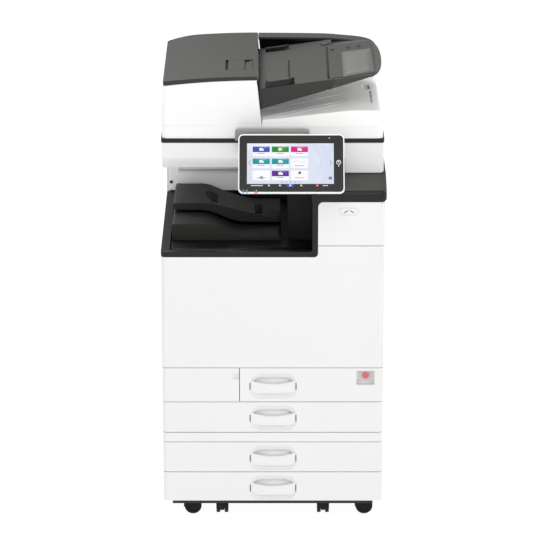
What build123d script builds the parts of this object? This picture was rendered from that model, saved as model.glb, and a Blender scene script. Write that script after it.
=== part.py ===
from build123d import *
import math
import os

# A floor-standing A3 colour photocopier on a two-drawer paper bank, with a document feeder.
# Units are millimetres. +X is to the right as the user faces it, +Y runs to the back, +Z is up.
# Depths are counted from the body's front plane, which lies at y = FRONT.

# ---------------------------------------------------------------- driving dimensions
WIDTH = 587.0                 # body, over the covers
HALF = WIDTH / 2
FRONT = -255.0                # y of the body's front plane
REAR_DEPTH = 597.5            # depth of the rear cover's outer face
SEAM = 0.9                    # half of the gap between two neighbouring covers
CORNER = 12.0                 # plan radius of the front's vertical corners
COVER = 7.5                   # thickness of side and rear covers
SHEET = 1.6                   # sheet steel of the frames and tray tubs
WALL = 286.0                  # outer face of the steel side walls

# heights of the front, from the base up
BASE_LOW, BASE_TOP = 48.5, 56.4
TRAY_LEVELS = {4: (56.4, 140.7), 3: (140.7, 227.2), 2: (254.5, 341.6), 1: (341.6, 438.1)}
POCKET_LOW = {4: 59.1, 3: 145.0, 2: 260.2, 1: 351.4}
BANK_TOP = 254.5
DOOR_LOW = 438.1
LIP_LOW, LIP_TOP = 747.3, 761.0
TOWER_LOW, TOWER_TOP = 777.7, 897.7
DECK_LEFT = 102.0             # left edge of the deck and of the tower
TOWER_LEFT = 118.0            # left edge of the tower's white cover
WASTE_RIGHT = -88.2           # seam between the waste toner cover and tray 1

# scanner and feeder
SCAN_FRONT, SCAN_REAR = 88.0, 545.0
SCAN_LOW, SCAN_TOP, BAND_TOP = 961.0, 1033.5, 1044.4
LID_LOW, FASCIA_TOP = 1044.9, 1078.0
ADF_FRONT, ADF_REAR = 90.0, 520.0
FEED_RIGHT_LOW, FEED_RIGHT_TOP = -27.0, -39.0    # the feeder's right wall leans
SLOPE = math.radians(3.3)     # feeder top and original tray rise towards the back

# casters
WHEEL_R, WHEEL_HIGH, TRAIL = 23.0, 23.0, 16.0
STEM_R = 5.0
CASTERS = {
    1: (-232.0, 62.0, 0.0),
    2: (-136.5, 45.0, 90.0),
    3: (136.5, 45.0, 90.0),
    4: (232.0, 62.0, 0.0),
    5: (-215.0, 540.0, 25.0),
    6: (215.0, 540.0, 155.0),
}

# operation panel
PANEL_X, PANEL_WIDE, PANEL_TALL, PANEL_THICK = 48.2, 274.0, 160.0, 22.0
PANEL_EXTRA = 3.0              # of the rim, above the screen
RIM_THICK = 7.0                # the rim is thinner than the body behind it
PANEL_LEAN = 36.1             # degrees back from vertical
PANEL_FOOT = (-87.5, 947.0)   # depth and height of the front face's lower edge
PANEL_PIVOT = (-10.0, 990.0)  # depth and height of the tilt shaft

# trays and copy trays
LIFT_HINGE_X = {1: -60.0, 2: -150.0, 3: -150.0, 4: -150.0}
TUB_FRONT, TUB_REAR = 22.0, 522.0
UPPER_TRAY_END = (768.0, 774.0)    # lower and upper edge of the upper copy tray's right end

# units inside, and small features: x and z, or depth and z
BOTTLE_X = (-225.0, -145.0, -65.0, 15.0)
BOTTLE_Z, BOTTLE_R = 698.0, 27.0
BUTTON = (247.6, 409.8)
DOCK_DEPTH, DOCK_Z = 300.0, 620.0
INLET_X, INLET_Z = 225.0, 130.0
BYPASS_D, BYPASS_Z = (120.0, 400.0), (470.0, 640.0)
GLASS_X = ((-240.0, 202.0), (-276.0, -252.0))
GLASS_D = (140.0, 450.0)
GLASS_LOW = 1038.4
SCREEN_WIDE, SCREEN_TALL = 262.0, 148.0

# the feeder's crowned cover and the tray for originals, as (x, z) at their front edges
COVER_TOP = [(-286, 1195), (-200, 1202), (-120, 1206), (-40, 1208)]
COVER_UNDER = [(-40, 1199.5), (-120, 1196.5), (-200, 1192), (-286, 1184)]
COVER_D = (98.0, 500.0)
COVER_RISE = (COVER_D[1] - COVER_D[0]) * math.tan(SLOPE)
TRAY_D = (105.0, 482.0)
TRAY_RISE = (TRAY_D[1] - TRAY_D[0]) * math.tan(SLOPE)
TRAY_TOP = [(-26, 1175.2), (286, 1217.4)]


# ---------------------------------------------------------------- helpers
def block(x0, x1, d0, d1, z0, z1):
    """A box between two x, two depths and two heights."""
    centre = Pos((x0 + x1) / 2, FRONT + (d0 + d1) / 2, (z0 + z1) / 2)
    return centre * Box(x1 - x0, d1 - d0, z1 - z0)


def prism_y(points, d0, d1):
    """An outline of (x, z) points, run from depth d0 to d1."""
    outline = Polyline(*[(x, FRONT + d0, z) for x, z in points], close=True)
    return extrude(make_face(outline), amount=d1 - d0, dir=(0, 1, 0))


def prism_x(points, x0, x1):
    """An outline of (depth, z) points, run from x0 to x1."""
    outline = Polyline(*[(x0, FRONT + d, z) for d, z in points], close=True)
    return extrude(make_face(outline), amount=x1 - x0, dir=(1, 0, 0))


def prism_z(points, z0, z1):
    """An outline of (x, depth) points, run from z0 up to z1."""
    outline = Polyline(*[(x, FRONT + d, z0) for x, d in points], close=True)
    return extrude(make_face(outline), amount=z1 - z0, dir=(0, 0, 1))


def wedge(front_points, d0, d1, rise):
    """An outline of (x, z) points at depth d0, lofted to the same one at d1, raised by rise."""
    ends = []
    for depth, lift in ((d0, 0.0), (d1, rise)):
        outline = Polyline(*[(x, FRONT + depth, z + lift) for x, z in front_points], close=True)
        ends.append(make_face(outline))
    return loft(ends, ruled=True)


def rod_x(depth, z, radius, x0, x1):
    return Pos((x0 + x1) / 2, FRONT + depth, z) * Rot(0, 90, 0) * Cylinder(radius, x1 - x0)


def rod_y(x, z, radius, d0, d1):
    return Pos(x, FRONT + (d0 + d1) / 2, z) * Rot(90, 0, 0) * Cylinder(radius, d1 - d0)


def rod_z(x, depth, radius, z0, z1):
    return Pos(x, FRONT + depth, (z0 + z1) / 2) * Cylinder(radius, z1 - z0)


def rounded_hole(x, z, wide, tall, radius, d0, d1):
    """A rounded rectangle seen from the front, run from depth d0 to d1."""
    outline = Plane.XZ * RectangleRounded(wide, tall, radius)
    return Pos(x, FRONT + d0, z) * extrude(outline, amount=d1 - d0, dir=(0, 1, 0))


def round_front(panel, left=True, right=True, radius=CORNER):
    """Round the vertical front corners of a panel, on the sides that are asked for."""
    uprights = panel.edges().filter_by(Axis.Z)
    box = panel.bounding_box()
    chosen = []
    for edge in uprights:
        centre = edge.center()
        if centre.Y > box.min.Y + 0.1:
            continue
        on_left = left and abs(centre.X - box.min.X) < 0.1
        on_right = right and abs(centre.X - box.max.X) < 0.1
        if on_left or on_right:
            chosen.append(edge)
    return fillet(chosen, radius)


def save(node, *shapes):
    """Write one sub-part; each shape stays a solid of its own."""
    solids = [solid for shape in shapes for solid in shape.solids()]
    export_step(Compound(solids), f"parts/{node}.step")


# ---------------------------------------------------------------- casters
def make_caster(number):
    """A twin-wheel caster: hooded fork with its stem and axle, and the two wheels."""
    x, depth, heading = CASTERS[number]
    place = Pos(x, FRONT + depth, 0) * Rot(0, 0, heading)
    hood_r, top = WHEEL_R + 2.2, WHEEL_HIGH + WHEEL_R + 2.2
    hub = Pos(TRAIL, 0, WHEEL_HIGH) * Rot(90, 0, 0)

    hood = hub * Cylinder(hood_r, 33) - hub * Cylinder(WHEEL_R + 0.4, 40)
    hood = hood & (Pos(TRAIL - 9, 0, 35) * Box(42, 40, 30))
    web = (hub * Cylinder(hood_r, 11)) & (Pos(TRAIL - 3, 0, 31) * Box(36, 12, 36))
    boss = Pos(1.5, 0, (30 + top) / 2) * Box(17, 11, top - 30)
    stem = Pos(0, 0, 47.5) * Cylinder(STEM_R, 15)
    axle = hub * Cylinder(3.0, 32.8)
    fork = hood + web + boss + stem + axle
    save(f"caster_fork_{number}", place * fork)

    wheels = []
    for side in (-1, 1):
        middle = Pos(TRAIL, side * 11.1, WHEEL_HIGH) * Rot(90, 0, 0)
        wheel = middle * Cylinder(WHEEL_R, 10)
        wheel = fillet(wheel.edges(), 1.8) - middle * Cylinder(3.1, 12)
        dish = Pos(TRAIL, side * 15.6, WHEEL_HIGH) * Rot(90, 0, 0) * Cylinder(15, 2)
        wheels.append(place * (wheel - dish))
    save(f"caster_wheels_{number}", *wheels)


# ---------------------------------------------------------------- frames
def make_base_frame():
    """The black base with its caster holes, and the paper bank's steel box on top of it."""
    base = block(-269.5, 269.5, 3, REAR_DEPTH - 10, BASE_LOW, BASE_TOP)
    for x, depth, _ in CASTERS.values():
        base -= rod_z(x, depth, STEM_R + 0.3, BASE_LOW - 1, BASE_TOP + 1)
    pieces = [base]
    for side in (-1, 1):
        x0, x1 = sorted((side * WALL, side * (WALL - SHEET)))
        pieces.append(block(x0, x1, 26, 588, BASE_TOP, BANK_TOP))
        r0, r1 = sorted((side * (WALL - SHEET), side * 280.4))
        for tray in (3, 4):
            middle = TRAY_LEVELS[tray][0] + 40
            pieces.append(block(r0, r1, 30, 570, middle - 8, middle + 8))
    rear = block(-WALL + SHEET, WALL - SHEET, 586, 588, BASE_TOP, BANK_TOP)
    rear -= block(INLET_X - 17, INLET_X + 17, 585, 589, INLET_Z - 13, INLET_Z + 13)
    pieces.append(rear)
    pieces.append(block(-WALL + SHEET, WALL - SHEET, 30, 586, 240, 242))
    save("base_frame", *pieces)


def make_main_frame():
    """The steel frame of the copier proper: floor, shelves, walls and the inner front plate."""
    inner = WALL - SHEET
    pieces = [
        block(-inner, inner, 26, 588, BANK_TOP, BANK_TOP + SHEET),
        block(-inner, inner, 30, 586, 338.6, 340.6),
        block(-inner, inner, 30, 586, 439.0, 441.0),
        block(-inner, inner, 586, 588, BANK_TOP + SHEET, 955),
        block(-WALL, -inner, 26, 588, BANK_TOP, 747),
        block(inner, WALL, 26, 588, BANK_TOP, 441),
        block(inner, WALL, 26, 588, 745, 896),
        block(inner, WALL, 26, 60, 441, 745),
        block(inner, WALL, 520, 588, 441, 745),
        block(-90.0, -88.0, 30, 586, 340.6, 439),
        block(220.0, 222.0, 30, 586, 340.6, 439),
        block(-88.0, -84.4, 30, 540, 378, 394),
        block(216.4, 220.0, 30, 540, 378, 394),
    ]
    for side in (-1, 1):
        r0, r1 = sorted((side * inner, side * 280.4))
        pieces.append(block(r0, r1, 30, 570, 286, 302))
    front_plate = block(-inner, inner, 30, 32, 441, 745)
    for x in BOTTLE_X:
        front_plate -= rod_y(x, BOTTLE_Z, BOTTLE_R + 1.5, 28, 34)
    pieces.append(front_plate)
    save("main_frame", *pieces)


# ---------------------------------------------------------------- paper trays
def make_drawer_front(tray):
    """A tray's front cover with the finger pocket and the grip bar moulded into it."""
    low, high = TRAY_LEVELS[tray]
    left = WASTE_RIGHT + SEAM if tray == 1 else -HALF
    front = block(left, HALF, 0, 22, low + SEAM, high - SEAM)
    front = round_front(front, left=tray != 1)

    wide, tall, pocket_x = 127.0, 71.0, 1.0
    middle = POCKET_LOW[tray] + tall / 2
    pocket = rounded_hole(pocket_x, middle, wide, tall, 30, -1, 17)
    front -= pocket

    foot = POCKET_LOW[tray]
    grip_outline = [(2, foot + 50), (7, foot + 50), (7, foot + 20), (12, foot + 9),
                    (17, foot + 5), (17, foot - 2), (9, foot - 2), (5, foot + 8), (2, foot + 21)]
    grip = prism_x(grip_outline, pocket_x - 60.5, pocket_x + 60.5) & pocket
    sag = 3.0
    sag_radius = 60.5 ** 2 / (2 * sag)
    grip -= rod_y(pocket_x, foot + 50 - sag + sag_radius, sag_radius, 0, 20)
    front += grip

    if tray == 1:
        front -= block(223, 270, -1, 23, 389.7, 429.4)
    save(f"tray_{tray}_front", front)


def make_tub(tray):
    """The sheet-steel box of a tray, open at the top, and its paper lift plate."""
    low, high = TRAY_LEVELS[tray]
    left, right = (-84.0, 216.0) if tray == 1 else (-280.0, 280.0)
    z0, z1 = low + 6, high - 14
    front, rear = TUB_FRONT, TUB_REAR
    walls = [
        block(left, right, front, rear, z0, z0 + SHEET),
        block(left, left + SHEET, front, rear, z0 + SHEET, z1),
        block(right - SHEET, right, front, rear, z0 + SHEET, z1),
        block(left + SHEET, right - SHEET, front, front + SHEET, z0 + SHEET, z1),
        block(left + SHEET, right - SHEET, rear - SHEET, rear, z0 + SHEET, z1),
    ]
    save(f"tray_{tray}_tub", *walls)
    hinge_x = LIFT_HINGE_X[tray]
    plate = block(hinge_x, right - 8, 32, rear - 12, z0 + 2.5, z0 + 4)
    save(f"tray_{tray}_lift_plate", plate)


# ---------------------------------------------------------------- outer covers
def make_fixed_covers():
    """The white covers that never open: left side, right rear strips, bank strip, switch plate."""
    strip = round_front(block(-HALF, HALF, 0, 22, 227.2 + SEAM, BANK_TOP - SEAM))
    switch_plate = block(222, WALL - SHEET, 24, 28, 384, 434)
    switch_plate -= rod_y(BUTTON[0], BUTTON[1], 8.4, 20, 30)
    left_bank = block(-HALF, -WALL, 24, 590, BASE_TOP + SEAM, BANK_TOP - SEAM)
    left_body = block(-HALF, -WALL, 24, 590, BANK_TOP + SEAM, LIP_LOW - SEAM)
    for along in (-1, 1):
        for up in (-1, 1):
            left_body -= rod_x(DOCK_DEPTH + along * 100, DOCK_Z + up * 30, 2.1, -HALF - 1, -WALL - 1.5)
    save(
        "fixed_side_covers",
        strip,
        switch_plate,
        left_bank,
        left_body,
        block(-HALF, -WALL, 492, 590, LIP_LOW + SEAM, SCAN_LOW - 6),
        block(-WALL, DECK_LEFT, 546, 590, 955, 958),
        block(WALL, HALF, 502, 590, BASE_TOP + SEAM, BANK_TOP - SEAM),
        block(WALL, HALF, 502, 590, BANK_TOP + SEAM, TOWER_LOW - SEAM),
    )


def make_rear_cover():
    """The rear cover, with two banks of cooling slots and the cut-out for the power inlet."""
    cover = block(-HALF + 1, HALF - 1, REAR_DEPTH - COVER, REAR_DEPTH, BASE_TOP + SEAM, 952)
    for x in (-170, 150):
        for row in range(9):
            z = 560 + 14 * row
            cover -= block(x - 60, x + 60, REAR_DEPTH - 9, REAR_DEPTH + 1, z, z + 5)
    cover -= block(INLET_X - 16, INLET_X + 16, REAR_DEPTH - 9, REAR_DEPTH + 1, INLET_Z - 12, INLET_Z + 12)
    save("rear_cover", cover)


def make_power_inlet():
    """The three-pin appliance inlet at the back."""
    body = block(INLET_X - 15.8, INLET_X + 15.8, REAR_DEPTH - 26, REAR_DEPTH - 0.2,
                 INLET_Z - 11.8, INLET_Z + 11.8)
    body -= block(INLET_X - 12.2, INLET_X + 12.2, REAR_DEPTH - 24, REAR_DEPTH + 1,
                  INLET_Z - 8.2, INLET_Z + 8.2)
    for dx, dz in ((-7, -2), (7, -2), (0, 2)):
        body += block(INLET_X + dx - 1, INLET_X + dx + 1, REAR_DEPTH - 24.4, REAR_DEPTH - 16,
                      INLET_Z + dz - 2.2, INLET_Z + dz + 2.2)
    save("power_inlet", body)


def make_front_door():
    """The large front door, L-shaped around the deck's trim, hinged along its lower edge."""
    left_part = block(-HALF, TOWER_LEFT + 2, 0, 14, DOOR_LOW + SEAM, LIP_LOW - SEAM)
    right_part = block(TOWER_LEFT + SEAM, HALF, 0, 14, DOOR_LOW + SEAM, TOWER_LOW - SEAM)
    door = left_part + right_part
    inner = door.edges().filter_by(Axis.Y).sort_by_distance((TOWER_LEFT + SEAM, FRONT + 7, LIP_LOW - SEAM))
    door = round_front(fillet(inner[0], 9.9))
    save("front_door", door)


def make_waste_cover():
    """The small door in front of the waste toner bottle, with a thumb notch at its free end."""
    cover = block(-HALF, WASTE_RIGHT - SEAM, 0, 14, TRAY_LEVELS[1][0] + SEAM, DOOR_LOW - SEAM)
    cover = round_front(cover, right=False)
    cover -= block(-104, -88, -1, 6, 406.7, 423.7)
    save("waste_toner_cover", cover)


def make_right_doors():
    """The jam-clearing doors on the right, with the fold-down bypass tray in the upper one."""
    x0, x1 = WALL + 1, HALF
    door = block(x0, x1, 26, 498, BANK_TOP + SEAM, TOWER_LOW - SEAM)
    door -= block(x0 - 1, x1 + 1, BYPASS_D[0], BYPASS_D[1], BYPASS_Z[0], BYPASS_Z[1])
    save("right_door", door)
    tray = block(x0, x1, BYPASS_D[0] + 1, BYPASS_D[1] - 1, BYPASS_Z[0] + 1.6, BYPASS_Z[1] - 1)
    save("bypass_tray", tray)
    lower = block(x0, x1, 26, 498, BASE_TOP + 6, BANK_TOP - SEAM)
    lower -= block(x1 - 4, x1 + 1, 40, 70, 120, 190)
    save("bank_right_door", lower)


def make_tower_cover():
    """The white cover of the right-hand tower: its front and its side."""
    front = block(TOWER_LEFT + SEAM, HALF, 0, 16, TOWER_LOW + SEAM, TOWER_TOP - SEAM)
    front = round_front(front, left=False)
    corner = [e for e in front.edges().filter_by(Axis.Y)
              if e.center().X < TOWER_LEFT + 5 and e.center().Z > TOWER_TOP - 5]
    front = fillet(corner, 13)
    side = block(WALL, HALF, 16, 590, TOWER_LOW + SEAM, TOWER_TOP - SEAM)
    save("upper_right_cover", front, side)


def make_deck():
    """The dark trim: lip below the output well, upright beside it and the sloping deck."""
    lip = round_front(block(-HALF, TOWER_LEFT, 0, 14, LIP_LOW, LIP_TOP), right=False)
    upright = block(DECK_LEFT, TOWER_LEFT, 0, 14, LIP_LOW, TOWER_TOP + SEAM)
    trim = lip + upright
    corner = [e for e in trim.edges().filter_by(Axis.Y)
              if e.center().X > TOWER_LEFT - 2 and e.center().Z < LIP_LOW + 2]
    trim = fillet(corner, 9)
    nose = [(0, TOWER_TOP + SEAM), (-3, 904), (-3, 917), (0, 923.5), (6, 927.5),
            (SCAN_FRONT + 2, 950.6), (585.5, 950.6)]
    under = [(585.5, 946), (92, 946), (12, 923), (12, TOWER_TOP + SEAM)]
    deck = prism_x(nose + under, DECK_LEFT, 297.5)
    deck += prism_x(nose + [(585.5, TOWER_TOP + SEAM)], WALL, 297.5)
    plan = block(DECK_LEFT - 1, 297.5, -4, 590, TOWER_TOP, 960)
    corner = [e for e in plan.edges().filter_by(Axis.Z)
              if e.center().X > 290 and e.center().Y < FRONT]
    deck &= fillet(corner, 13)
    save("deck_bezel", trim, deck)


# ---------------------------------------------------------------- output well
def make_output_well():
    """The dark well that finished copies land in: floor, left sill, right and rear walls."""
    sill = prism_x([(14, LIP_LOW), (14, LIP_TOP), (490, 782), (490, LIP_LOW)], -HALF, -270)
    save(
        "output_well",
        block(-270, 104, 14, 490, 749, 756),
        sill,
        prism_x([(14, 756), (14, 922.8), (92, 945.4), (490, 945.4), (490, 756)], 104, 112),
        block(-270, 104, 484, 490, 756, 785),
        block(40, 104, 120, 484, 756, 905),
    )


def s_curve(x0, z0, x1, z1, steps=8):
    """Points of a smooth step from (x0, z0) to (x1, z1)."""
    points = []
    for i in range(steps + 1):
        t = i / steps
        points.append((x0 + (x1 - x0) * t, z0 + (z1 - z0) * (1 - math.cos(math.pi * t)) / 2))
    return points


def make_output_trays():
    """The two copy trays, each high at the outer end and falling towards the exit."""
    lower = [(-264, 757), (-264, 800.5), (-261, 803.5)]
    lower += s_curve(-190, 803.5, -80, 769.5) + [(20, 769.5), (22, 767.5), (22, 757)]
    lower_back = [(x, z - 9 if z > 757 else z) for x, z in lower]
    save("lower_output_tray", prism_y(lower, 112, 236) + prism_y(lower_back, 236, 480))
    upper = [(-268, 806), (-268, 820), (-265, 823), (-176, 823), (22, UPPER_TRAY_END[1])]
    upper += [(22, UPPER_TRAY_END[0])] + s_curve(-60, UPPER_TRAY_END[0] + 3, -196, 806)
    save("upper_output_tray", prism_y(upper, 240, 484))


# ---------------------------------------------------------------- internal units
def make_internal_units():
    """Toner bottles, drums with belt and laser box, and the fuser."""
    bottles = []
    for x in BOTTLE_X:
        bottle = rod_y(x, BOTTLE_Z, BOTTLE_R, 44, 430) + rod_y(x, BOTTLE_Z, 14, 430, 446)
        bottle += rod_y(x, BOTTLE_Z, BOTTLE_R - 5, 26, 44)
        bottles.append(bottle)
    save("toner_bottles", *bottles)

    belt = block(-235, 105, 60, 440, 610, 640)
    belt = fillet(belt.edges().filter_by(Axis.Y), 14.9)
    pieces = [belt, block(-250, 130, 70, 450, 450, 520)]
    for x in (-200, -110, -20, 70):
        pieces.append(rod_y(x, 594.5, 15, 60, 440))
        pieces.append(block(x - 32, x + 32, 60, 440, 525, 578))
    save("imaging_unit", *pieces)

    fuser = block(190, 278, 64, 500, 650, 742) - block(214, 279, 74, 490, 664, 728)
    rollers = [rod_y(x, 696, 14, 76, 488) for x in (232, 262)]
    save("fuser_unit", fuser, *rollers)

    button = rod_y(BUTTON[0], BUTTON[1], 8, 17, 29)
    button = fillet(button.edges().sort_by(Axis.Y)[0], 1)
    save("power_button", button)


# ---------------------------------------------------------------- scanner
def make_scanner():
    """The flatbed scanner: tub, dark top frame, glasses and the moving carriage."""
    outline = [(SCAN_FRONT, SCAN_TOP), (SCAN_FRONT, 994), (SCAN_FRONT + 6, 975), (SCAN_FRONT + 18, SCAN_LOW),
               (SCAN_REAR, SCAN_LOW), (SCAN_REAR, SCAN_TOP)]
    tub = prism_x(outline, -291, 291)
    tub -= block(-287, 287, SCAN_FRONT + 8, SCAN_REAR - 4, 986, SCAN_TOP + 1)
    skirt = block(190, 291, SCAN_FRONT, SCAN_REAR, 951.4, SCAN_LOW)
    riser = block(-286, 102, 490, 500, 785, SCAN_LOW)
    spacer = block(-286, DECK_LEFT, 500, SCAN_REAR, 955, SCAN_LOW)
    save("scanner_housing", tub, skirt, riser, spacer)

    frame = block(-292.5, 292.5, SCAN_FRONT - 1.5, SCAN_REAR + 1, SCAN_TOP, BAND_TOP)
    frame = fillet(frame.edges().filter_by(Axis.Z), 9)
    for x0, x1 in GLASS_X:
        frame -= block(x0, x1, GLASS_D[0], GLASS_D[1], GLASS_LOW, BAND_TOP + 1)
        frame -= block(x0 + 4, x1 - 4, GLASS_D[0] + 4, GLASS_D[1] - 4, SCAN_TOP - 1, GLASS_LOW)
    save("scanner_top_frame", frame)
    save("exposure_glass", *[block(x0, x1, GLASS_D[0], GLASS_D[1], GLASS_LOW, GLASS_LOW + 4)
                             for x0, x1 in GLASS_X])
    carriage = block(-240, -205, 140, 500, 996, 1030)
    carriage -= block(-228, -217, 160, 480, 1012, 1031)
    save("scan_carriage", carriage)


def make_panel():
    """The tilting operation panel with its screen, and the bracket that carries it."""
    lean = math.radians(PANEL_LEAN)
    middle_d = PANEL_FOOT[0] + PANEL_TALL / 2 * math.sin(lean) + PANEL_THICK / 2 * math.cos(lean)
    middle_z = PANEL_FOOT[1] + PANEL_TALL / 2 * math.cos(lean) - PANEL_THICK / 2 * math.sin(lean)
    place = Pos(PANEL_X, FRONT + middle_d, middle_z) * Rot(-PANEL_LEAN, 0, 0)
    rim = Pos(0, (RIM_THICK - PANEL_THICK) / 2, PANEL_EXTRA / 2)
    rim *= Box(PANEL_WIDE, RIM_THICK, PANEL_TALL + PANEL_EXTRA)
    rim = fillet(rim.edges().filter_by(Axis.Y), 13)
    body = Pos(0, RIM_THICK / 2, 0) * Box(PANEL_WIDE - 24, PANEL_THICK - RIM_THICK, PANEL_TALL - 36)
    body = fillet(body.edges().filter_by(Axis.Y), 8)
    slab = rim + body
    recess = Pos(0, -PANEL_THICK / 2, 0) * Box(SCREEN_WIDE, 2.4, SCREEN_TALL)
    panel = place * (slab - recess)
    for x0, x1 in ((-72, -60), (60, 72)):
        lug = rod_x(PANEL_PIVOT[0], PANEL_PIVOT[1], 9, x0, x1)
        arm = Pos((x0 + x1) / 2, FRONT + PANEL_PIVOT[0], PANEL_PIVOT[1])
        arm *= Rot(-PANEL_LEAN, 0, 0) * Pos(0, -8, 0) * Box(x1 - x0, 15, 18)
        panel += lug + arm
    panel -= rod_x(PANEL_PIVOT[0], PANEL_PIVOT[1], 5.1, -80, 80)
    save("operation_panel", panel)

    glass = Pos(0, -PANEL_THICK / 2 + 0.5, 0) * Box(SCREEN_WIDE - 0.4, 1.0, SCREEN_TALL - 0.4)
    save("panel_screen", place * glass)

    outline = [(SCAN_FRONT, 1006), (SCAN_FRONT, 1020), (78, 1068), (70, 1074), (40, 1074),
               (33, 1068), (3, 1026), (3, 996), (12, 984), (30, 984)]
    bracket = prism_x(outline, -98, 96)
    for x0, x1 in ((-56, -40), (40, 56)):
        bracket += prism_x([(-10, 983), (-14, 990), (-6, 996), (6, 1004), (6, 986)], x0, x1)
    bracket += rod_x(PANEL_PIVOT[0], PANEL_PIVOT[1], 5, -74, 74)
    save("panel_bracket", bracket)


# ---------------------------------------------------------------- document feeder


def make_lid():
    """The feeder's base with the exit tray moulded in it, and the white pad under it."""
    outline = [(-290, LID_LOW), (289, LID_LOW), (288, FASCIA_TOP), (281, 1119), (275, 1121.5),
               (195, 1120), (183, 1117.5), (88, 1090), (80, 1089), (FEED_RIGHT_LOW, 1089),
               (FEED_RIGHT_LOW, FASCIA_TOP), (-290, FASCIA_TOP)]
    base = prism_y(outline, ADF_FRONT, ADF_REAR)
    base -= block(-284, -34, ADF_FRONT + 6, ADF_REAR - 6, 1050, FASCIA_TOP + 1)
    base -= block(-20, 276, ADF_FRONT + 6, ADF_REAR + 1, 1050, 1082)
    save("adf_base", base)
    save("platen_pad", block(-237, 199, 143, 447, 1042.7, LID_LOW))

    crest = [(-37, 1227.3), (46, 1226.8), (140, 1225.4), (187, 1222), (235, 1217.2)]
    wall = [(-25, 1089.4)] + crest + [(263, 1210.5), (278, 1200), (284, 1184), (281, 1123),
                                      (195, 1121.5), (182, 1119), (86, 1090.8)]
    rail = prism_y(wall, 502, ADF_REAR)
    rim = crest + [(235, 1203), (187, 1208), (140, 1211.5), (46, 1212.8), (-35.8, 1213)]
    rail += prism_y(rim, 486, 502)
    plate = block(-20, 276, ADF_REAR - 8, ADF_REAR, 1050, 1082)
    save("adf_rear_rail", rail, plate)


def make_feeder():
    """The feeder's white housing, its crowned cover with the latch, and the feed roller."""
    side = [(ADF_FRONT, FASCIA_TOP), (ADF_FRONT, 1129), (COVER_D[0] - 1, 1240), (ADF_REAR, 1240),
            (ADF_REAR, FASCIA_TOP)]
    shell = prism_x(side, -290, -20)
    body = [(-290, FASCIA_TOP), (-287, 1182.8)]
    body += [(x, z - 1.2) for x, z in reversed(COVER_UNDER)]
    body += [(FEED_RIGHT_TOP, 1198.3), (FEED_RIGHT_LOW, FASCIA_TOP)]
    drop = (COVER_D[0] - ADF_FRONT) * math.tan(SLOPE)
    rise = (ADF_REAR - ADF_FRONT) * math.tan(SLOPE)
    lofted = wedge([(x, z - (drop if z > 1150 else 0)) for x, z in body], ADF_FRONT, ADF_REAR, rise)
    trim_low = block(-300, 0, ADF_FRONT - 1, ADF_REAR + 1, 1000, FASCIA_TOP)
    outer = (lofted + block(-289, -31, ADF_FRONT, ADF_REAR, FASCIA_TOP, 1110)) & shell
    outer -= trim_low
    inner = block(-284, -48, ADF_FRONT + 8, ADF_REAR - 6, FASCIA_TOP - 1, 1300)
    housing = outer - inner
    housing -= block(-60, -10, 130, 480, 1176, 1300)
    housing -= block(-60, -10, 130, 480, 1093, 1108)
    save("adf_feeder_housing", housing)

    blank = wedge(COVER_TOP + COVER_UNDER, COVER_D[0], COVER_D[1], COVER_RISE)
    pocket = block(-124, -52, 161, 250, 1100, 1300)
    lowered = Pos(0, 0, -7) * blank
    cover = (blank - pocket) + (blank & pocket & lowered)
    save("adf_feed_cover", cover)
    lever = (blank & block(-117, -74, 162, 249, 1100, 1300)) - Pos(0, 0, -5.5) * blank
    save("adf_latch", lever)

    roller = rod_y(-72, 1158, 13, 240, 360) + rod_y(-72, 1158, 4, 99, 512)
    save("adf_feed_roller", roller)


def tray_height(x, depth):
    """Height of the original tray's upper surface."""
    (x0, z0), (x1, z1) = TRAY_TOP
    return z0 + (z1 - z0) * (x - x0) / (x1 - x0) + (depth - TRAY_D[0]) * math.tan(SLOPE)


def make_original_tray():
    """The dark tray for originals, with its deep front skirt, and the two side guides."""
    outline = TRAY_TOP + [(286, 1209), (160, 1176), (-26, 1121)]
    tray = wedge(outline, TRAY_D[0], TRAY_D[1], TRAY_RISE)
    tray -= Pos(0, 0, -4) * wedge([(-22, 1172), (282, 1217), (283, 1100), (-22, 1100)],
                                  TRAY_D[0] + 4, TRAY_D[1] - 4, TRAY_RISE)
    plan = [(-30, 100), (262, 100), (276, 118), (285, 160), (288, 230), (285, 320), (274, 390),
            (256, 440), (236, 490), (-30, 490)]
    tray = tray & prism_z(plan, 1100, 1300)
    save("original_tray", tray)

    def guide(x0, x1, d0, d1, lift, high):
        low, top = tray_height(x0, d0) + lift, tray_height(x1, d0) + lift
        outline = [(x0, low), (x1, top), (x1, top + high), (x0, low + high)]
        return wedge(outline, d0, d1, (d1 - d0) * math.tan(SLOPE))

    front_wall = guide(-20, 46, 114, 122, 0.3, 16)
    front_plate = guide(-20, 40, 122, 320, 0.3, 1.4)
    save("guide_front", front_wall + front_plate)
    rear_wall = guide(-20, 56, 428, 434, 2.4, 16) + guide(42, 56, 420, 434, 0.3, 3)
    save("guide_rear", rear_wall)


def main():
    os.makedirs("parts", exist_ok=True)
    for number in CASTERS:
        make_caster(number)
    make_base_frame()
    make_main_frame()
    for tray in TRAY_LEVELS:
        make_drawer_front(tray)
        make_tub(tray)
    make_fixed_covers()
    make_rear_cover()
    make_power_inlet()
    make_front_door()
    make_waste_cover()
    make_right_doors()
    make_tower_cover()
    make_deck()
    make_output_well()
    make_output_trays()
    make_internal_units()
    make_scanner()
    make_panel()
    make_lid()
    make_feeder()
    make_original_tray()


main()
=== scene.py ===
"""Looks of a floor-standing photocopier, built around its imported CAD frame.

Lengths here are millimetres: x to the right, depth back from the front covers' plane, z up from
the floor. pt() turns them into the frame's metres.
"""
import math

import bmesh
import bpy
from mathutils import Matrix, Vector


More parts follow.
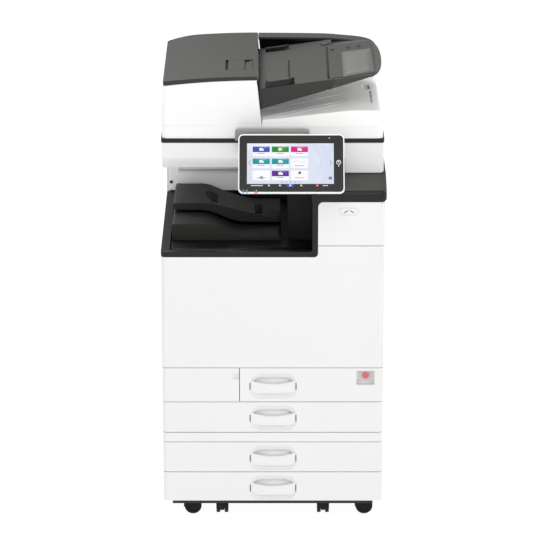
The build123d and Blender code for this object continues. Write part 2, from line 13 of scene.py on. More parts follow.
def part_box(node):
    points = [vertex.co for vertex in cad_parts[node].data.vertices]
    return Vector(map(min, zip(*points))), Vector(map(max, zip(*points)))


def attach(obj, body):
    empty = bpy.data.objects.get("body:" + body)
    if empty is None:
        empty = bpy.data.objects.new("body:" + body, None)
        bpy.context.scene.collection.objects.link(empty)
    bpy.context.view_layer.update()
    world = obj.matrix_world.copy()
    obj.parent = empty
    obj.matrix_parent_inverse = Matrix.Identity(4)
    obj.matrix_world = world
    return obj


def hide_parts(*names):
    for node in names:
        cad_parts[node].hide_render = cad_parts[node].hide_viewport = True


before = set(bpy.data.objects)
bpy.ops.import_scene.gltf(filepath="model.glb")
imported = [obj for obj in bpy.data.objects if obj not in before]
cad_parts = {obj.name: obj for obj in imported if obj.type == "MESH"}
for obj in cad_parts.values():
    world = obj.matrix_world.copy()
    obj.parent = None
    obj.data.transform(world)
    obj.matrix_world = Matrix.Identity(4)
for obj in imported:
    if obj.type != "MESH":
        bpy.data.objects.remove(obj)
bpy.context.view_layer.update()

MM = 0.001
FRONT_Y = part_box("tray_2_front")[0][1]
SLOPE = math.tan(math.radians(3.3))       # feeder top and original tray rise towards the back
SEGMENTS = 3                              # of every softened edge


def pt(x, depth, z):
    return Vector((x * MM, FRONT_Y + depth * MM, z * MM))


def span(node):
    """A node's box as x, depth and z ranges in millimetres."""
    low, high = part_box(node)
    xs = (low[0] / MM, high[0] / MM)
    depths = ((low[1] - FRONT_Y) / MM, (high[1] - FRONT_Y) / MM)
    return xs, depths, (low[2] / MM, high[2] / MM)


# -------------------- materials
class Shader:
    """A new material's principled shader, and the nodes that vary it over the part."""

    def __init__(self, name):
        self.material = bpy.data.materials.new(name)
        self.material.use_nodes = True
        self.nodes, self.links = self.material.node_tree.nodes, self.material.node_tree.links
        self.inputs = self.nodes["Principled BSDF"].inputs
        self.where = self.nodes.new("ShaderNodeTexCoord").outputs["Object"]

    def fix(self, **values):
        """Set inputs of the shader by name, with _ for a space."""
        for name, value in values.items():
            self.inputs[name.replace("_", " ")].default_value = value

    def noise(self, scale, detail=2.0, where=None):
        node = self.nodes.new("ShaderNodeTexNoise")
        node.inputs["Scale"].default_value = scale
        node.inputs["Detail"].default_value = detail
        self.links.new(where or self.where, node.inputs["Vector"])
        return node.outputs["Fac"]

    def tint(self, share, low, high, socket="Base Color"):
        """Vary a colour from low to high."""
        node = self.nodes.new("ShaderNodeMix")
        node.data_type = "RGBA"
        node.inputs[6].default_value = (*low, 1)
        node.inputs[7].default_value = (*high, 1)
        self.links.new(share, node.inputs[0])
        self.links.new(node.outputs[2], self.inputs[socket])

    def gloss(self, share, low, high):
        """Vary the roughness from low to high."""
        node = self.nodes.new("ShaderNodeMapRange")
        node.inputs["To Min"].default_value = low
        node.inputs["To Max"].default_value = high
        self.links.new(share, node.inputs["Value"])
        self.links.new(node.outputs["Result"], self.inputs["Roughness"])


def plastic(name, colour, roughness=0.45, drift=0.03, grain=900.0, bump=0.12, shine=0.5):
    """Moulded plastic: fine sparked grain, and a slow drift of colour and gloss over the part."""
    look = Shader(name)
    slow = look.noise(5.0, 3.0)
    look.tint(slow, [c * (1 - drift) for c in colour], [min(1.0, c * (1 + drift)) for c in colour])
    look.gloss(slow, roughness - 0.06, roughness + 0.06)
    relief = look.nodes.new("ShaderNodeBump")
    relief.inputs["Strength"].default_value = bump
    relief.inputs["Distance"].default_value = 0.0003
    look.links.new(look.noise(grain), relief.inputs["Height"])
    look.links.new(relief.outputs["Normal"], look.inputs["Normal"])
    look.fix(Specular_IOR_Level=shine)
    return look.material


def glow(material, colour, strength):
    """Let a material give off a little light of its own: an evenly bright floor, or painted bounce light on
    white plastic in shade.
    """
    bsdf = material.node_tree.nodes["Principled BSDF"]
    bsdf.inputs["Emission Color"].default_value = colour
    bsdf.inputs["Emission Strength"].default_value = strength


def metal(name, colour, roughness=0.35, metallic=1.0):
    """Sheet metal with fine rolling marks and a spangled, uneven gloss."""
    look = Shader(name)
    look.fix(Metallic=metallic)
    stretch = look.nodes.new("ShaderNodeMapping")
    stretch.inputs["Scale"].default_value = (40, 600, 40)
    look.links.new(look.where, stretch.inputs["Vector"])
    spangle = look.nodes.new("ShaderNodeTexVoronoi")
    spangle.inputs["Scale"].default_value = 90.0
    look.links.new(look.where, spangle.inputs["Vector"])
    look.tint(spangle.outputs["Distance"], [c * 0.88 for c in colour], colour)
    look.gloss(look.noise(1.0, 4.0, stretch.outputs["Vector"]), roughness, roughness + 0.2)
    return look.material


def lit(name, colour, strength=1.0):
    """A patch of a lit display: slightly uneven backlight behind a satin filter."""
    look = Shader(name)
    look.fix(Base_Color=(0.02, 0.02, 0.02, 1), Roughness=0.35, Specular_IOR_Level=0.2,
             Emission_Strength=strength)
    look.tint(look.noise(12.0), [c * 0.94 for c in colour], colour, "Emission Color")
    return look.material


def clear_glass(name):
    """Clear glass with faint smears in its polish."""
    look = Shader(name)
    look.fix(Base_Color=(0.93, 0.98, 0.97, 1), Transmission_Weight=0.95, IOR=1.5)
    look.gloss(look.noise(14.0), 0.01, 0.06)
    return look.material


WHITE = plastic("white_moulding", (0.86, 0.86, 0.855), 0.42, 0.012, 700, 0.05)
# A lighter copy of the white moulding: painted light, for the extra light the feeder's upper parts catch from
# above.
PAINTED_LIT_WHITE = plastic("white_moulding_painted_lit", (0.94, 0.94, 0.935), 0.42, 0.01, 700, 0.05)
PALE_GREY = plastic("pale_grey_moulding", (0.62, 0.62, 0.61), 0.5, 0.02)
DARK = plastic("dark_grey_moulding", (0.032, 0.0315, 0.029), 0.5, 0.06, 900, 0.25, 0.32)
DECK = plastic("deck_grey_moulding", (0.048, 0.047, 0.044), 0.45, 0.06, 900, 0.2, 0.32)
LIP = plastic("black_brown_moulding", (0.010, 0.0095, 0.009), 0.38, 0.08, 900, 0.2, 0.3)
WELL = plastic("well_black_moulding", (0.008, 0.007, 0.006), 0.5, 0.1, 900, 0.25, 0.2)
COPY_TRAY = plastic("copy_tray_black", (0.02, 0.0185, 0.017), 0.5, 0.1, 900, 0.25, 0.3)
CASTER = plastic("caster_black_moulding", (0.007, 0.007, 0.007), 0.45, 0.1, 900, 0.12, 0.22)
TYRE = plastic("caster_tread", (0.009, 0.009, 0.009), 0.7, 0.15, 1400, 0.4, 0.25)
RUBBER = plastic("feed_rubber", (0.09, 0.09, 0.10), 0.8, 0.1, 1600, 0.5)
BRACKET = plastic("bracket_grey", (0.25, 0.246, 0.235), 0.35, 0.04)
TAB = plastic("tray_label_grey", (0.115, 0.113, 0.106), 0.5, 0.04, 900, 0.12, 0.32)
BEZEL = plastic("bezel_black_gloss", (0.012, 0.012, 0.011), 0.25, 0.05, 500, 0.02, 0.2)
PAD = plastic("white_foam_sheet", (0.8, 0.8, 0.8), 0.75, 0.02, 400, 0.3)
BOTTLE = plastic("bottle_moulding", (0.05, 0.05, 0.055), 0.4, 0.06)
UNIT = plastic("unit_moulding", (0.07, 0.07, 0.075), 0.45, 0.08)
STEEL = metal("zinc_sheet", (0.62, 0.63, 0.64))
BLACK_METAL = metal("black_powder_coat", (0.02, 0.02, 0.02), 0.5, 0.2)
# A slightly lighter copy of the white moulding that glows a little: painted bounce light for white parts in
# shade.
WHITE_PAINTED_BOUNCE = plastic("white_moulding_painted_bounce_light", (0.88, 0.88, 0.87), 0.42, 0.012, 700, 0.05)
glow(WHITE_PAINTED_BOUNCE, (1, 1, 0.98, 1), 0.1)
GLASS = clear_glass("scan_glass")
# Near-black fill set into slots, gaps, holes and pits: painted shade for their depths.
SLOT_SHADE = plastic("painted_slot_shade", (0.004, 0.004, 0.004), 0.9, 0.1)
BUTTON_RED = lit("button_red", (0.80, 0.20, 0.22), 0.8)


# -------------------- mesh helpers
def link(name, mesh, material):
    piece = bpy.data.objects.new(name, mesh)
    bpy.context.scene.collection.objects.link(piece)
    mesh.materials.append(material)
    return piece


def tidy_normals(mesh):
    work = bmesh.new()
    work.from_mesh(mesh)
    bmesh.ops.remove_doubles(work, verts=work.verts, dist=1e-6)
    bmesh.ops.recalc_face_normals(work, faces=work.faces)
    work.to_mesh(mesh)
    work.free()
    mesh.shade_smooth()


def solid(name, verts, faces, material):
    mesh = bpy.data.meshes.new(name)
    mesh.from_pydata([tuple(v) for v in verts], [], faces)
    tidy_normals(mesh)
    return link(name, mesh, material)


def loft(name, rings, material, closed_ends=True):
    """Rings of equally many points, joined in order; the first and last are capped."""
    count = len(rings[0])
    verts = [v for ring in rings for v in ring]
    faces = []
    for r in range(len(rings) - 1):
        for i in range(count):
            j = (i + 1) % count
            faces.append((r * count + i, r * count + j, (r + 1) * count + j, (r + 1) * count + i))
    if closed_ends:
        faces.append(tuple(range(count)))
        last = (len(rings) - 1) * count
        faces.append(tuple(range(last + count - 1, last - 1, -1)))
    return solid(name, verts, faces, material)


def rounded(points, radii, steps=6):
    """A closed 2-D outline whose corners are turned into arcs; radii has one per point."""
    outline = []
    count = len(points)
    for i in range(count):
        corner, radius = Vector(points[i]), radii[i]
        if radius <= 0:
            outline.append(corner)
            continue
        before = (Vector(points[i - 1]) - corner).normalized()
        after = (Vector(points[(i + 1) % count]) - corner).normalized()
        half = before.angle(after) / 2
        reach = radius / math.tan(half)
        centre = corner + (before + after).normalized() * (radius / math.sin(half))
        start = corner + before * reach - centre
        end = corner + after * reach - centre
        turn = start.angle_signed(end)
        for k in range(steps + 1):
            outline.append(centre + Matrix.Rotation(-turn * k / steps, 2) @ start)
    return outline


def rectangle(x0, x1, y0, y1):
    return [(x0, y0), (x1, y0), (x1, y1), (x0, y1)]


def circle(x, y, radius, steps=24, tall=None):
    """Points of a circle, or of an ellipse where tall is its other half-axis."""
    tall = radius if tall is None else tall
    angles = [2 * math.pi * k / steps for k in range(steps)]
    return [(x + radius * math.cos(a), y + tall * math.sin(a)) for a in angles]


def prism_x(name, outline, x0, x1, material):
    return loft(name, [[pt(x, d, z) for d, z in outline] for x in (x0, x1)], material)


def prism_y(name, outline, d0, d1, material):
    return loft(name, [[pt(x, d, z) for x, z in outline] for d in (d0, d1)], material)


def prism_z(name, outline, z0, z1, material):
    return loft(name, [[pt(x, d, z) for x, d in outline] for z in (z0, z1)], material)


def block(name, x0, x1, d0, d1, z0, z1, material):
    return prism_z(name, rectangle(x0, x1, d0, d1), z0, z1, material)


def dense(outline, longest=14.0, fixed=0):
    """The same outline with its long sides split, so that a surface over it can curve."""
    points = []
    for k, start in enumerate(outline):
        start, end = Vector(start), Vector(outline[(k + 1) % len(outline)])
        parts = max(1, math.ceil((end - start).length / longest))
        parts = fixed if fixed and parts > 1 else parts
        points += [start + (end - start) * j / parts for j in range(parts)]
    return points


def through(points, parts=6):
    """A smooth line through 2-D points (Catmull-Rom)."""
    points = [Vector(p) for p in points]
    ends = [points[0] * 2 - points[1]] + points + [points[-1] * 2 - points[-2]]
    line = []
    for k in range(1, len(ends) - 2):
        a, b, c, d = ends[k - 1:k + 3]
        for j in range(parts):
            t = j / parts
            line.append(0.5 * (2 * b + (c - a) * t + (2 * a - 5 * b + 4 * c - d) * t * t
                               + (3 * b - a - 3 * c + d) * t ** 3))
    return line + [points[-1]]


def corner_tool(name, x, z0, z1, radius=12.0):
    """The waste outside a rounded vertical corner at the front left."""
    arc = [(x + radius - radius * math.cos(a), radius - radius * math.sin(a))
           for a in (math.radians(9 * k) for k in range(11))]
    return prism_z(name, [(x - 3, -3)] + [(x + radius, -3)] + arc[::-1] + [(x - 3, radius)], z0, z1, LIP)


def ramp(x, start, length):
    """How far x has come along a stretch: 0 before it, 1 after it."""
    return min(1.0, max(0.0, (x - start) / length))


def over(surface, lift):
    """The same surface, raised by lift."""
    return lambda x, d: surface(x, d) + lift


def crowned(name, outline, top, under, material, inner=(0.97, 0.9, 0.75, 0.55, 0.3)):
    """A plate with any convex plan outline of (x, depth), and smooth upper and lower surfaces."""
    outline = dense(outline)
    centre = sum(outline, Vector((0, 0))) / len(outline)
    rings = []
    for share in reversed(inner):
        ring = [centre + (p - centre) * share for p in outline]
        rings.append([pt(x, d, under(x, d)) for x, d in ring])
    rings.append([pt(x, d, under(x, d)) for x, d in outline])
    rings.append([pt(x, d, top(x, d)) for x, d in outline])
    for share in inner:
        ring = [centre + (p - centre) * share for p in outline]
        rings.append([pt(x, d, top(x, d)) for x, d in ring])
    return loft(name, rings, material)


def settle(piece):
    """Apply a piece's modifiers to its mesh."""
    bpy.context.view_layer.update()
    seen = piece.evaluated_get(bpy.context.evaluated_depsgraph_get())
    mesh = bpy.data.meshes.new_from_object(seen)
    piece.modifiers.clear()
    old, piece.data = piece.data, mesh
    bpy.data.meshes.remove(old)
    return piece


def cut(piece, *cutters):
    """Take other pieces' shapes out of this one, and delete them."""
    for cutter in cutters:
        difference = piece.modifiers.new("cut", "BOOLEAN")
        difference.operation = "DIFFERENCE"
        difference.solver = "EXACT"
        difference.material_mode = "TRANSFER"
        difference.object = cutter
        settle(piece)
        bpy.data.objects.remove(cutter)
    piece.data.shade_smooth()
    return piece


def soften(piece, width=1.0, angle=32, segments=SEGMENTS):
    """Round every edge sharper than angle by width."""
    bevel = piece.modifiers.new("soft_edges", "BEVEL")
    bevel.width = width * MM
    bevel.segments = segments
    bevel.limit_method = "ANGLE"
    bevel.angle_limit = math.radians(angle)
    bevel.harden_normals = True
    bevel.use_clamp_overlap = True
    return piece


def join(name, pieces):
    """One piece made of several, with their materials kept."""
    work = bmesh.new()
    materials = []
    for piece in pieces:
        settle(piece)
        here = []
        for material in piece.data.materials:
            if material not in materials:
                materials.append(material)
            here.append(materials.index(material))
        first = len(work.faces)
        work.from_mesh(piece.data)
        work.faces.ensure_lookup_table()
        for face in work.faces[first:]:
            face.material_index = here[face.material_index] if here else 0
        bpy.data.objects.remove(piece)
    mesh = bpy.data.meshes.new(name)
    work.to_mesh(mesh)
    work.free()
    joined = bpy.data.objects.new(name, mesh)
    bpy.context.scene.collection.objects.link(joined)
    for material in materials:
        mesh.materials.append(material)
    return joined


def fit(piece, body, slot, *replaced):
    """Give a piece its body and hide the CAD nodes it stands for; the slot argument is not used."""
    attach(piece, body)
    if replaced:
        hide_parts(*replaced)
    return piece


# -------------------- CAD nodes that stay
def finish_node(node, material, width=0.8):
    """Give a CAD node its material, and a small radius on its edges."""
    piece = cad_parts[node]
    for index in range(len(piece.material_slots)):
        piece.material_slots[index].material = material
    weld = piece.modifiers.new("weld", "WELD")
    weld.merge_threshold = 1e-5
    if width:
        soften(piece, width, 35, 2)


def finish_nodes():
    """Materials for the CAD nodes that stay as they are."""
    plain = {
        WHITE: ["fixed_side_covers", "rear_cover", "upper_right_cover", "front_door",
                "waste_toner_cover", "right_door", "bypass_tray", "bank_right_door"],
        WELL: ["output_well", "power_inlet"],
        PAD: ["platen_pad"],
        UNIT: ["scan_carriage"],
    }
    for material, names in plain.items():
        for node in names:
            finish_node(node, material, 1.0)
    finish_node("scanner_top_frame", LIP, 1.6)
    finish_node("base_frame", BLACK_METAL, 0)
    finish_node("exposure_glass", GLASS, 0)
    finish_node("main_frame", STEEL, 0)
    finish_node("fuser_unit", UNIT, 0)
    finish_node("imaging_unit", UNIT, 0)
    finish_node("toner_bottles", BOTTLE, 0)
    finish_node("adf_feed_roller", RUBBER, 0)
    finish_node("power_button", BUTTON_RED, 0)
    for tray in range(1, 5):
        finish_node(f"tray_{tray}_tub", STEEL, 0)
        finish_node(f"tray_{tray}_lift_plate", STEEL, 0)
    for number in range(1, 7):
        finish_node(f"caster_fork_{number}", CASTER, 0.4)
        finish_node(f"caster_wheels_{number}", TYRE, 0)


# -------------------- paper trays
POCKET_WIDE, POCKET_TALL, POCKET_R, POCKET_X = 127.0, 71.0, 30.0, 1.0
POCKET_ABOVE = {4: 1.8, 3: 3.4, 2: 4.8, 1: 8.9}      # pocket's foot above the cover's lower edge


def pocket_ring(foot, wide, low, high, radius, depth, steps=8):
    outline = rounded(rectangle(POCKET_X - wide / 2, POCKET_X + wide / 2, foot + low, foot + high),
                      [radius] * 4, steps)
    return [pt(x, depth, z) for x, z in outline]


def make_grip(tray, foot):
    """The dish of a finger pocket, the grip bar across it and black blocks at its ends: painted shade in the
    gaps beside the bar.
    """
    dish = loft(f"tray_{tray}_grip_dish", [
        pocket_ring(foot, 127.6, -0.3, 71.3, 30.2, 0.9),
        pocket_ring(foot, 125.5, 0.8, 70.2, 29.5, 1.8),
        pocket_ring(foot, 122.0, 2.6, 68.0, 28.5, 4.2),
        pocket_ring(foot, 113.0, 6.0, 58.0, 24.0, 9.0),
        pocket_ring(foot, 108.0, 8.0, 55.5, 22.0, 11.0),
        pocket_ring(foot, 106.0, 9.0, 54.5, 21.0, 13.6),
    ], WHITE, closed_ends=False)
    back = loft(f"tray_{tray}_grip_back", [
        pocket_ring(foot, 108.0, 8.0, 55.5, 22.0, 13.2),
        pocket_ring(foot, 108.0, 8.0, 55.5, 22.0, 14.4),
    ], WHITE)
    shell = dish.modifiers.new("wall", "SOLIDIFY")
    shell.thickness = 0.8 * MM
    shell.offset = 0

    half, sections = 60.3, 28
    profile = [(5.0, 50.0), (2.6, 49.6), (1.4, 48.0), (0.9, 44.0), (0.8, 36.0), (0.9, 28.0),
               (1.4, 23.5), (2.4, 20.5), (4.4, 15.5), (7.4, 10.5), (11.0, 7.5), (13.0, 8.5),
               (9.5, 13.5), (7.8, 19.0), (7.4, 30.0), (7.4, 44.0), (6.8, 48.8)]
    rings = []
    for k in range(sections + 1):
        across = -math.cos(math.pi * k / sections)
        x = half * across
        arc = max(0.0, abs(x) - (POCKET_WIDE / 2 - POCKET_R))
        floor = POCKET_R - math.sqrt(POCKET_R ** 2 - arc ** 2) + 1.2
        sag = 9.8 * (1 - across ** 2)
        end = 1 - abs(across) ** 12
        ring = []
        for depth, z in profile:
            depth = depth + 1.6 * (1 - end) + 0.7 * across ** 2
            z -= sag * max(0.0, z - 30) / 20
            ring.append(pt(POCKET_X + x, depth, foot + max(z, floor)))
        rings.append(ring)
    bar = loft(f"tray_{tray}_grip_bar", rings, WHITE)
    # Near-black blocks at the bar's ends: painted shade in the gaps there.
    slots = []
    for side in (-1, 1):
        x = POCKET_X + side * 61.6
        outline = rounded(rectangle(x - 1.1, x + 1.1, foot + 23, foot + 44), [1.0] * 4, 3)
        slots.append(prism_y(f"grip_gap_shade_{side}", outline, 1.6, 6, SLOT_SHADE))
    gaps = join(f"tray_{tray}_painted_grip_gaps", slots)
    for piece in (settle(dish), back, bar, gaps):
        fit(piece, f"drawer_{tray}", "white_cover")


def make_tray_front(tray):
    """A tray's cover: plan-rounded front corners, a finger pocket, and tray 1's switch window."""
    (x0, x1), (d0, d1), (z0, z1) = span(f"tray_{tray}_front")
    left = 12 if tray != 1 else 0
    outline = rounded(rectangle(x0, x1, d0, d1), [left, 12, 0, 0], 8)
    cover = prism_z(f"tray_{tray}_cover", outline, z0, z1, WHITE)
    foot = z0 + POCKET_ABOVE[tray]
    hole = rounded(rectangle(POCKET_X - POCKET_WIDE / 2, POCKET_X + POCKET_WIDE / 2,
                             foot, foot + POCKET_TALL), [POCKET_R] * 4, 10)
    cut(cover, prism_y("hole", hole, -5, 17.5, WHITE))
    if tray == 1:
        window = rounded(rectangle(223, 270, 389.7, 429.4), [2] * 4, 3)
        cut(cover, prism_y("window", window, -5, 30, WHITE))
    soften(cover, 0.9)
    fit(cover, f"drawer_{tray}", "white_cover", f"tray_{tray}_front")
    make_grip(tray, foot)


# -------------------- scanner
def make_scanner():
    """The scanner's white tub, its deeper right end, and the wall and louvres under it."""
    (x0, x1), (d0, d1), (_, z1) = span("scanner_housing")
    crease = 994.0
    outline = [(d0, z1), (d0, crease + 1.5)]
    for k in range(9):
        outline.append((d0 + 30 * (k / 8) ** 1.3, crease - 37 * k / 8))
    outline += [(d1, 957.5), (d1, z1)]
    tub = prism_x("scanner_tub", outline, x0, x1, WHITE)
    cut(tub, block("inside", x0 + 4, x1 - 4, d0 + 26, d1 - 4, 986, z1 + 5, WHITE))
    soften(tub, 1.6, 25)
    side = x1 + 0.3
    skirt_outline = rounded([(190, 994), (190, 951.4), (side, 951.4), (side, 994)], [0, 1, 7, 0], 5)
    skirt = soften(prism_y("scanner_skirt", skirt_outline, d0 + 0.2, d1 - 20, WHITE), 1.2)
    # A near-black wedge in the skirt's slit: painted shade.
    slit = prism_y("skirt_slit", [(268, 951.2), (290.8, 951.2), (290.8, 957.5), (283, 953.6), (268, 952.6)],
                   d0 + 0.6, d0 + 12, SLOT_SHADE)
    # The wall under the scanner glows a little: painted bounce light in the shaded well.
    riser = soften(block("scanner_riser", -286, 102, 490, 500, 785, 957, WHITE_PAINTED_BOUNCE), 1.0)
    spacer = block("scanner_spacer", -286, 102, 500, d1, 955, 958, WHITE)
    fit(tub, "root", "white_cover", "scanner_housing")
    for piece in (skirt, riser, spacer, slit):
        fit(piece, "root", "white_cover")
    # The louvres' openings are near-black strips: painted shade in the openings.
    louvres = [block("louvre_0", -283, 100, 488.6, 490.4, 855, 864, SLOT_SHADE)]
    for k, low in enumerate((846, 838)):
        wedge = [(490.2, low + 7), (484.5, low + 1.5), (484.5, low), (490.2, low)]
        louvres.append(prism_x(f"louvre_{k + 1}", wedge, -262, 100, WHITE))
        louvres.append(block(f"louvre_gap_{k}", -262, 100, 489.2, 490.4, low - 1.6, low, SLOT_SHADE))
    fit(join("riser_louvres", louvres), "root", "white_cover")


# -------------------- operation panel
PANEL_LEAN = math.radians(36.1)
PANEL_SIZE = (274.0, 160.0, 22.0)


def panel_pt(u, v, out):
    """u to the right, v up along the panel's face, out towards the user, from the face's centre."""
    low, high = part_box("panel_screen")
    centre = (Vector(low) + Vector(high)) / 2
    up = Vector((0, math.sin(PANEL_LEAN), math.cos(PANEL_LEAN)))
    normal = Vector((0, -math.cos(PANEL_LEAN), math.sin(PANEL_LEAN)))
    return centre + Vector((1, 0, 0)) * u * MM + up * v * MM + normal * out * MM


def panel_plate(name, outline, out0, out1, material):
    return loft(name, [[panel_pt(u, v, out) for u, v in outline] for out in (out0, out1)], material)


def patch(name, u0, u1, v0, v1, out, material, radius=0.0):
    outline = rectangle(u0, u1, v0, v1)
    outline = rounded(outline, [radius] * 4, 4) if radius else outline
    return panel_plate(name, outline, out - 0.3, out, material)


def disc(name, u, v, radius, out, material, hole=0.0, steps=24):
    """A flat dot, or a ring if hole is given."""
    rim = circle(u, v, radius, steps)
    plate = panel_plate(name, rim, out - 0.3, out, material)
    if hole:
        bore = [(u + (a - u) * hole / radius, v + (b - v) * hole / radius) for a, b in rim]
        cut(plate, panel_plate("bore", bore, out - 2, out + 2, material))
    return plate


def strip(name, path, width, out, material):
    """A drawn line of constant width along a list of (u, v) points."""
    left, right = [], []
    for k, (u, v) in enumerate(path):
        ahead = Vector(path[min(k + 1, len(path) - 1)]) - Vector(path[max(k - 1, 0)])
        side = Vector((-ahead.y, ahead.x)).normalized() * width / 2
        left.append((u + side.x, v + side.y))
        right.append((u - side.x, v - side.y))
    return panel_plate(name, left + right[::-1], out - 0.3, out, material)


def make_screen():
    """The lit screen: pale ground with a soft sweep, nine tiles, and the bar of keys below."""
    ground = lit("screen_ground", (0.73, 0.765, 0.89))
    sweep_a = lit("screen_sweep_light", (0.68, 0.74, 0.90))
    sweep_b = lit("screen_sweep_deep", (0.60, 0.67, 0.86))
    paper = lit("screen_white", (0.96, 0.97, 1.0))
    blue = lit("screen_blue", (0.040, 0.070, 0.44))
    green = lit("screen_green", (0.003, 0.26, 0.012))
    magenta = lit("screen_magenta", (0.67, 0.003, 0.26))
    teal = lit("screen_teal", (0.0, 0.31, 0.33))
    purple = lit("screen_purple", (0.10, 0.01, 0.30))
    grey = lit("screen_grey", (0.18, 0.18, 0.21))
    yellow = lit("screen_yellow", (0.80, 0.48, 0.02))
    red = lit("screen_red", (0.80, 0.04, 0.03))

    face = 0.75
    parts = [patch("ground", -114.3, 109.3, -54, 57, face, ground)]
    add = parts.append
    for k, (start, reach) in enumerate(((48, 26), (60, 18), (74, 12))):
        edge = [(start + reach * (1 - 4 * (j / 12 - 0.5) ** 2), -54 + 111 * j / 12) for j in range(13)]
        add(panel_plate(f"sweep_{k}", edge + [(109.3, 57), (109.3, -54)], face - 0.2,
                                 face + 0.03 + 0.03 * k, sweep_a if k != 1 else ground))
    bend = [(62 + 46 * (j / 10) ** 2, -40 + 78 * j / 10) for j in range(11)]
    add(strip("ribbon", bend, 1.2, face + 0.12, sweep_b))

    heads = [[blue, green, magenta], [teal, teal, None], [None, purple, None]]
    for row in range(3):
        for column in range(3):
            u0, v1 = -100.0 + 49.3 * column, 48.4 - 33.1 * row
            add(patch(f"tile_{row}{column}", u0, u0 + 44.6, v1 - 26.5, v1, face + 0.15, paper, 1.5))
            head = heads[row][column]
            mid_u, mid_v = u0 + 22.3, v1 - 7.4
            if head:
                add(patch(f"head_{row}{column}", u0 + 0.3, u0 + 44.3, v1 - 15.6, v1,
                                   face + 0.25, head, 1.2))
                add(patch(f"sheet_{row}{column}", mid_u - 5, mid_u + 3, mid_v - 4, mid_v + 3,
                                   face + 0.35, paper, 1))
                add(disc(f"badge_{row}{column}", mid_u + 3.6, mid_v - 1.6, 3.0, face + 0.45,
                                  yellow if head is green else paper))
                add(patch(f"caption_{row}{column}", mid_u - 9, mid_u + 9, v1 - 19.6, v1 - 18.2,
                                   face + 0.3, grey, 0.6))
            else:
                add(patch(f"caption_{row}{column}", mid_u - 12, mid_u + 12, v1 - 20.4, v1 - 19.0,
                                   face + 0.3, grey, 0.6))
    for k in range(5):
        add(disc(f"node_{k}", 8.5 + 6.4 * k, 7.5 + 3 * math.sin(k * 1.5), 1.1, face + 0.35, grey))
    add(disc("pie", 21, -24, 4.6, face + 0.35, yellow))
    add(disc("pie_core", 22.2, -23, 3.2, face + 0.4, blue))
    add(patch("printer_top", -80, -74, -36, -33, face + 0.35, grey, 0.6))
    add(patch("printer", -82, -72, -40, -36.4, face + 0.35, grey, 0.8))

    for side in (-1, 1):
        u = -107.5 if side < 0 else 102.0
        tick = [(u - side * 2.2, 10.5), (u + side * 2.2, 3.5), (u - side * 2.2, -3.5)]
        add(strip(f"chevron_{side}", tick, 1.3, face + 0.3, grey))
    for k in range(5):
        add(patch(f"page_{k}", -27 + 11 * k, -20 + 11 * k, -49.4, -48.2, face + 0.3,
                           blue if k == 2 else grey, 0.5))
    corner = patch("list_key", 96, 104, -42, -34, face + 0.3, grey, 1)
    cut(corner, patch("list_hole", 97.2, 102.8, -40.8, -35.2, face + 1, grey))
    add(corner)

    add(patch("home_key", -12.5, 6.5, -62.5, -54.4, face, blue, 1))
    add(disc("home_dot", -3, -58.4, 2.4, face + 0.2, paper))
    for u in (-57, -28.5, 26):
        add(patch(f"key_{int(u)}", u - 3, u + 1.5, -60.4, -56.4, face, paper, 1))
        add(patch(f"key_b_{int(u)}", u - 0.5, u + 3.4, -61.6, -58, face + 0.1, grey, 0.8))
    add(disc("stop_key", 66.5, -58.4, 3.2, face, red))
    add(disc("stop_dot", 66.5, -58.4, 1.2, face + 0.1, paper))
    for start, count in ((-104, 9), (81, 4)):
        for k in range(count):
            add(patch(f"word_{start}_{k}", start + 3.5 * k, start + 3.5 * k + 2.4, -59.9, -57.3,
                               face, paper, 0.7))
    add(disc("reader_ring", 122.0, 5.0, 6.2, face, paper, hole=4.6))
    add(disc("reader_dot", 122.0, 6.5, 1.9, face, paper))
    add(patch("reader_mark", 120.6, 123.4, -6.5, -3.8, face, paper, 0.6))
    return join("panel_display", parts)


